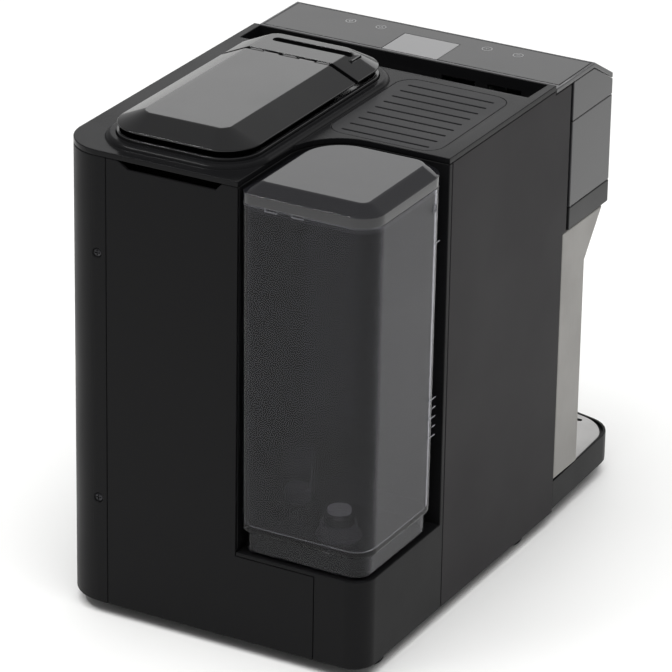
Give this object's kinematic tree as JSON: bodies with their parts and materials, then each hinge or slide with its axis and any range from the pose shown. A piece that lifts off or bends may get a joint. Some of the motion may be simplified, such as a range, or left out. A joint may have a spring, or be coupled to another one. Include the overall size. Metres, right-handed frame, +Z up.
{
  "type": "pod coffee machine",
  "caption": "Countertop pod coffee machine with a lift-out corner water tank, lidded pod bin, cup shelf, angled touch panel, sliding spout and pull-out drip tray.",
  "frame": {"origin": "centre of the footprint, at the underside of the feet", "axes": "+Z up; the front, with the cup bay, faces -Y and the rear +Y; the water tank is at -X"},
  "size_m": [0.2415, 0.4115, 0.365],
  "materials": {
    "case_black": "satin black moulded plastic",
    "side_grey": "satin dark grey moulded plastic",
    "gloss_grey": "glossy grey plastic",
    "smoked_clear": "smoked clear plastic",
    "smoked_gloss": "glossy smoked plastic",
    "shelf_grey": "satin grey plastic",
    "display_grey": "glossy light grey display window",
    "silver": "satin silver paint",
    "plate_steel": "brushed stainless steel",
    "screw_steel": "plain steel",
    "rubber": "matte black rubber",
    "inner_white": "white moulded plastic",
    "float_red": "red moulded plastic",
    "brass": "machined brass",
    "aluminium": "cast aluminium",
    "board": "green lacquered circuit board",
    "hose_clear": "translucent silicone hose"
  },
  "bodies": {
    "casing": {"foot_front_left": "rubber", "foot_front_right": "rubber", "foot_rear_left": "rubber", "foot_rear_right": "rubber", "base_plate": "case_black", "cord_gland": "rubber", "side_panel_left": "side_grey", "side_panel_right": "case_black", "rear_panel": "case_black", "case_screw_1": "screw_steel", "case_screw_2": "screw_steel", "tank_bay": "case_black", "tank_coupling": "inner_white", "level_sensor": "inner_white", "top_cover": "case_black", "cup_shelf_grille": "shelf_grey", "pod_bin": "smoked_gloss", "bin_rim": "smoked_gloss", "bin_front_cover": "smoked_gloss", "lid_hinge_rod": "screw_steel", "head_lower_band": "side_grey", "head_body": "gloss_grey", "head_upper_frame": "gloss_grey", "control_panel": "gloss_grey", "touch_panel": "gloss_grey", "display": "display_grey", "touch_board": "board", "bay_column": "silver", "spout_housing": "case_black", "coffee_funnel": "inner_white", "brew_bridge": "aluminium", "inner_frame": "aluminium", "pump": "brass", "pump_mount": "rubber", "flow_meter": "inner_white", "thermoblock": "aluminium", "suction_hose": "hose_clear", "pump_hose": "hose_clear", "boiler_hose": "hose_clear", "brew_hose": "hose_clear", "control_board": "board", "power_board": "board"},
    "tank": {"water_tank": "smoked_clear", "tank_seal": "rubber"},
    "tank_lid": {"tank_lid": "smoked_gloss"},
    "tank_valve": {"tank_valve": "inner_white"},
    "tank_float": {"tank_float": "inner_white"},
    "bin_lid": {"bin_lid": "smoked_gloss"},
    "tray": {"drip_tray": "case_black", "pod_waste_container": "case_black"},
    "drip_plate": {"drip_plate": "plate_steel"},
    "tray_float": {"tray_float": "float_red"},
    "spout": {"coffee_spout": "case_black"},
    "pod_drawer": {"pod_drawer": "gloss_grey"},
    "brew_piston": {"brew_piston": "screw_steel"}
  },
  "joints": [
    {"name": "tank_lift", "type": "slide", "parent": "casing", "child": "tank", "axis": [0, 0, 1], "range_m": [0, 0.28]},
    {"name": "tank_lid_lift", "type": "slide", "parent": "tank", "child": "tank_lid", "axis": [0, 0, 1], "range_m": [0, 0.04]},
    {"name": "valve_slide", "type": "slide", "parent": "tank", "child": "tank_valve", "axis": [0, 0, 1], "range_m": [0, 0.003], "stiffness_N_per_m": 300},
    {"name": "float_rise", "type": "slide", "parent": "tank", "child": "tank_float", "axis": [0, 0, 1], "range_m": [0, 0.03]},
    {"name": "lid_hinge", "type": "hinge", "parent": "casing", "child": "bin_lid", "pos_m": [0.04, 0.031, 0.3626], "axis": [1, 0, 0], "range_deg": [0, 80]},
    {"name": "tray_slide", "type": "slide", "parent": "casing", "child": "tray", "axis": [0, -1, 0], "range_m": [0, 0.17]},
    {"name": "drip_plate_lift", "type": "slide", "parent": "tray", "child": "drip_plate", "axis": [0, 0, 1], "range_m": [0, 0.03]},
    {"name": "tray_float_rise", "type": "slide", "parent": "tray", "child": "tray_float", "axis": [0, 0, 1], "range_m": [0, 0.008]},
    {"name": "spout_slide", "type": "slide", "parent": "casing", "child": "spout", "axis": [0, 0, -1], "range_m": [0, 0.042]},
    {"name": "drawer_slide", "type": "slide", "parent": "casing", "child": "pod_drawer", "axis": [0, -1, 0], "range_m": [0, 0.055]},
    {"name": "press_slide", "type": "slide", "parent": "casing", "child": "brew_piston", "axis": [0, 0, -1], "range_m": [0, 0.012]}
  ]
}
